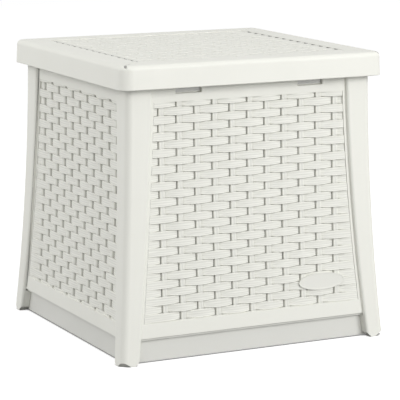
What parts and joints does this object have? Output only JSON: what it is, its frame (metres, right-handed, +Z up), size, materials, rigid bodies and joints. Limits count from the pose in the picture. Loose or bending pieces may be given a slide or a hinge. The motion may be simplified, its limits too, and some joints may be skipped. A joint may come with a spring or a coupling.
{
  "type": "storage side table",
  "caption": "Outdoor storage side table in moulded wicker-look resin: flared panels between corner legs, a recessed plinth and a skirted lid that hinges open on a storage box.",
  "frame": {"origin": "on the floor under the middle of the box", "axes": "+Z up, +X to the right along the front, +Y from the front to the hinged back"},
  "size_m": [0.498, 0.48, 0.493],
  "materials": {
    "resin": "satin moulded off-white resin",
    "hinge_resin": "matt off-white resin",
    "badge": "smooth satin off-white resin",
    "steel": "zinc-plated steel"
  },
  "bodies": {
    "box": {"front_panel": "resin", "back_panel": "resin", "left_panel": "resin", "right_panel": "resin", "leg_back_right": "resin", "leg_back_left": "resin", "leg_front_right": "resin", "leg_front_left": "resin", "base_tray": "resin", "leg_screws": "steel", "base_screws": "steel", "badge_plate": "badge", "hinge_bracket_left": "hinge_resin", "hinge_bracket_right": "hinge_resin", "hinge_bracket_screws": "steel", "hinge_pin_left": "steel", "hinge_pin_right": "steel"},
    "lid": {"lid_shell": "resin", "hinge_leaf_left": "hinge_resin", "hinge_leaf_right": "hinge_resin", "hinge_leaf_screws": "steel"}
  },
  "joints": [
    {"name": "lid_hinge", "type": "hinge", "parent": "box", "child": "lid", "pos_m": [0, 0.222, 0.452], "axis": [-1, 0, 0], "range_deg": [0, 105]}
  ]
}
